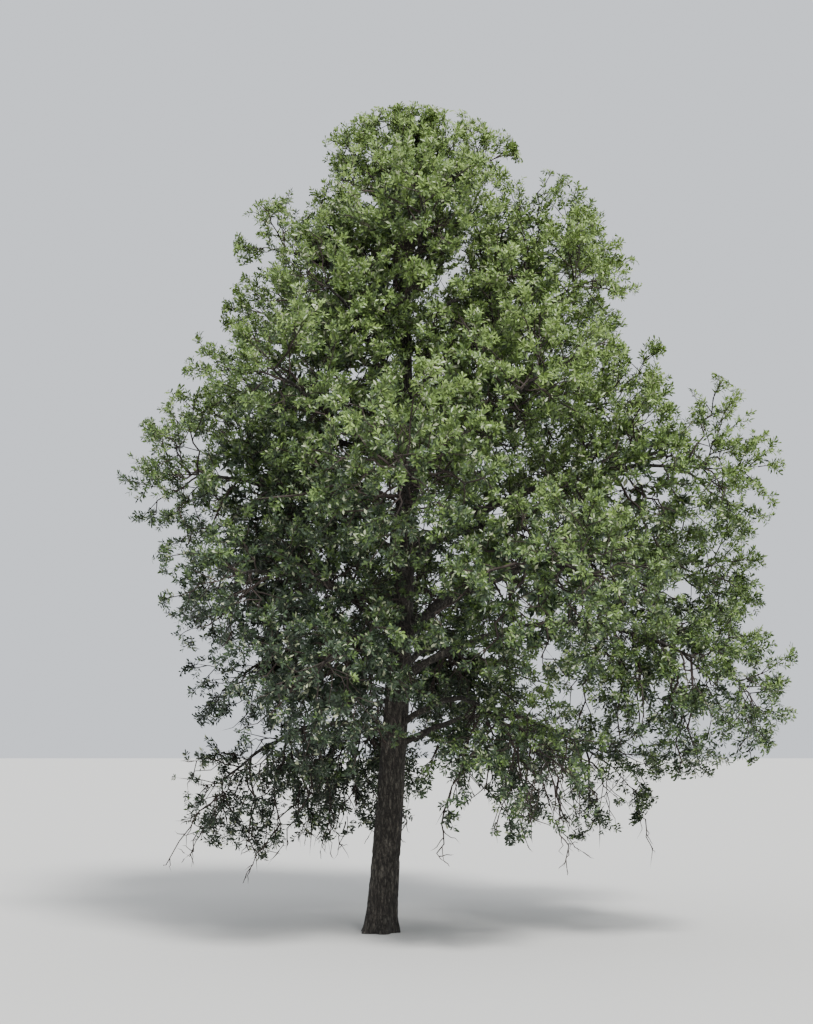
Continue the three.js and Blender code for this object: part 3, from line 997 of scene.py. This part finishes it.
twigSkins = joined([skinOf(twigs) for twigs in (first, second, stalks, forks)])
twigPiece = pieceFromArrays("twigs", *twigSkins, twigBark, "bark")
shootPiece = pieceFromArrays("shoots", *skinOf(third), twigBark, "bark")
report(f"twigs {len(twigPiece.data.polygons)} faces, shoots {len(shootPiece.data.polygons)} faces")

leafOutline = {  # share of the length, and of the width to each side
    "whole": ((0.44, 0.36), (0.78, 0.47)),
    "plain": ((0.54, 0.50),),
    "fold": 0.34,  # how far the sides rise, of half the width
    "pieceLimit": 180000,
}


def leafArrays(chosen, outline):  # a blade folded along its middle, as a fan of faces from the root
    root, along, facing = (leaves[key][chosen] for key in ("root", "direction", "facing"))
    length = leaves["length"][chosen][:, None]
    half = np.cross(along, facing) * length * growth["leafWidth"]
    rise = facing * length * growth["leafWidth"] * leafOutline["fold"]

    def side(way):
        return [
            root + along * length * share + (half * way + rise) * width
            for share, width in leafOutline[outline]
        ]

    rim = [root, *side(1), root + along * length, *reversed(side(-1))]
    fan = np.array([[0, k, k + 1] for k in range(1, len(rim) - 1)])
    faces = fan + np.arange(len(root))[:, None, None] * len(rim)
    return np.stack(rim, axis=1).reshape(-1, 3), faces.reshape(-1, 3)


tints = {  # lit and shaded copies of one leaf green, a ladder of painted shade and painted sunlight, and pale leaves; name: colour, and how dark its darker patches are
    "leavesDeepShaded": ((0.026, 0.040, 0.023), 0.75),
    "leavesShaded": ((0.043, 0.068, 0.033), 0.78),
    "leavesHalfLit": ((0.080, 0.126, 0.038), 0.80),
    "leavesBrightLit": ((0.130, 0.198, 0.050), 0.82),
    "leavesSunlit": ((0.200, 0.286, 0.076), 0.84),
    "leavesPaleAndGlint": ((0.340, 0.370, 0.230), 0.88),
}
dealing = {  # which tint a spray gets, counted from the deepest painted shade
    "middle": 2.25,  # at this height, x and depth
    "middleAt": (3.0, 0.3, 0.2),
    "change": (0.34, 0.28, 1.4),  # to a metre upwards, rightwards, inwards: painted light up and to the right, painted shade inwards
    # painted light on the upper side of each mass, painted shade on its lower side
    "inMass": 0.6,
    "upper": 0.35,  # painted light, brighter between these heights
    "upperHeights": (3.2, 4.2, 4.6, 5.6),
    "right": 0.45,  # painted shade, darker to the right, and low
    "rightAcross": (0.8, 1.8),
    "rightHeights": (2.2, 3.8),
    "left": 1.0,  # painted shade, darker to the left, and low
    "leftAcross": (-0.2, 1.2),
    "leftHeights": (2.0, 3.5),
    "strands": 0.5,  # painted shade, darker in the strands
    "variety": (0.5, 0.55),  # from spray to spray, and leaf to leaf
    "pale": 0.06,  # share of the leaves, pale undersides and painted glints
}


def tintOfLeaves():  # painted light and shade: brighter to the upper right and outside, darker low on the left and inside
    tips = third.points[:, -1]
    across, height, depth = tips[:, 0], tips[:, 2], depthInCrown(tips)
    middleHeight, middleAcross, middleDepth = dealing["middleAt"]
    upwards, rightwards, inwards = dealing["change"]
    value = dealing["middle"] + upwards * (height - middleHeight)
    value = value + rightwards * (across - middleAcross) - inwards * (depth - middleDepth)
    low, full, fading, high = dealing["upperHeights"]
    value += dealing["upper"] * ramp(height, low, full) * falling(height, fading, high)
    toRight = ramp(across, *dealing["rightAcross"])
    value -= dealing["right"] * toRight * falling(height, *dealing["rightHeights"])
    # painted light towards the top of each mass, painted shade towards its bottom
    value += dealing["inMass"] * (height - centres[third.mass][:, 2]) / sizes[third.mass]
    dim = falling(height, *dealing["leftHeights"]) * falling(across, *dealing["leftAcross"])
    bySpray, byLeaf = dealing["variety"]
    darker = dealing["left"] * dim
    inStrands = dealing["strands"] * hangingShare(tips) * (1 - dim)
    value += rng.normal(0, bySpray, len(tips)) - darker - inStrands
    count, palest = len(leaves["spray"]), len(tints) - 1
    tint = np.round(value[leaves["spray"]] + rng.normal(0, byLeaf, count))
    tint = np.clip(tint, 0, palest - 1).astype(int)
    # pale leaves at random: partly pale undersides, partly painted glints of light on the leaves
    tint[rng.uniform(0, 1, count) < dealing["pale"]] = palest
    return tint


leafTint = tintOfLeaves()
leafDepth = depthInCrown(leaves["root"])
isWhole = leafDepth < np.quantile(leafDepth, growth["wholeLeaves"])
for number, (name, (colour, shade)) in enumerate(tints.items()):
    chosen = np.flatnonzero(leafTint == number)
    chosen = chosen[np.argsort(leaves["root"][chosen, 2], kind="stable")]
    faceCount = 2 * len(chosen) + 2 * isWhole[chosen].sum()
    parts = np.array_split(chosen, math.ceil(faceCount / leafOutline["pieceLimit"]))
    look = leafLook(name, colour, shade)
    for k, part in enumerate(parts):
        blades = joined([
            leafArrays(part[isWhole[part]], "whole"),
            leafArrays(part[~isWhole[part]], "plain"),
        ])
        pieceName = name if len(parts) == 1 else f"{name}{k + 1}"
        piece = pieceFromArrays(pieceName, *blades, look, "foliage")
        report(f"{pieceName}: {len(part)} leaves, {len(piece.data.polygons)} faces")


# Floor, light and camera
stage = {
    "floorHalf": 60.0,
    "floorColour": (0.62, 0.61, 0.58, 1),
    "floorRoughness": 0.9,
    "skyColour": (0.86, 0.90, 0.96, 1),
    "skyStrength": 1.05,
    "sunStrength": 5.2,
    "sunAngle": 0.25,
    "sunFrom": (0.48, -1.00, 1.20),
    "eye": (0.21, -13.0, 1.60),
    "pitch": 7.18,
    "lens": 58.4,
    "clipEnd": 200,
}


def makeStage():
    bm = bmesh.new()
    bmesh.ops.create_grid(bm, x_segments=1, y_segments=1, size=stage["floorHalf"])
    mesh = bpy.data.meshes.new("floor")
    bm.to_mesh(mesh)
    bm.free()
    look = Look("floorPlain")
    finish = {"Base Color": stage["floorColour"], "Roughness": stage["floorRoughness"]}
    mesh.materials.append(look.finish(finish))
    floor = bpy.data.objects.new("floor", mesh)
    bpy.context.scene.collection.objects.link(floor)
    world = bpy.data.worlds.new("softStudio")
    bpy.context.scene.world = world
    world.use_nodes = True
    background = world.node_tree.nodes["Background"]
    background.inputs["Color"].default_value = stage["skyColour"]
    background.inputs["Strength"].default_value = stage["skyStrength"]
    sun = bpy.data.lights.new("softKey", "SUN")
    sun.energy, sun.angle = stage["sunStrength"], stage["sunAngle"]
    lamp = bpy.data.objects.new("softKey", sun)
    lamp.rotation_euler = Vector(stage["sunFrom"]).to_track_quat("Z", "Y").to_euler()
    bpy.context.scene.collection.objects.link(lamp)
    camera = bpy.data.objects.new("camera", bpy.data.cameras.new("camera"))
    camera.data.lens, camera.data.clip_end = stage["lens"], stage["clipEnd"]
    camera.location = stage["eye"]
    camera.rotation_euler = (math.radians(90 + stage["pitch"]), 0, 0)
    bpy.context.scene.collection.objects.link(camera)
    bpy.context.scene.camera = camera


makeStage()
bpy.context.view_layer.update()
report("stage set")
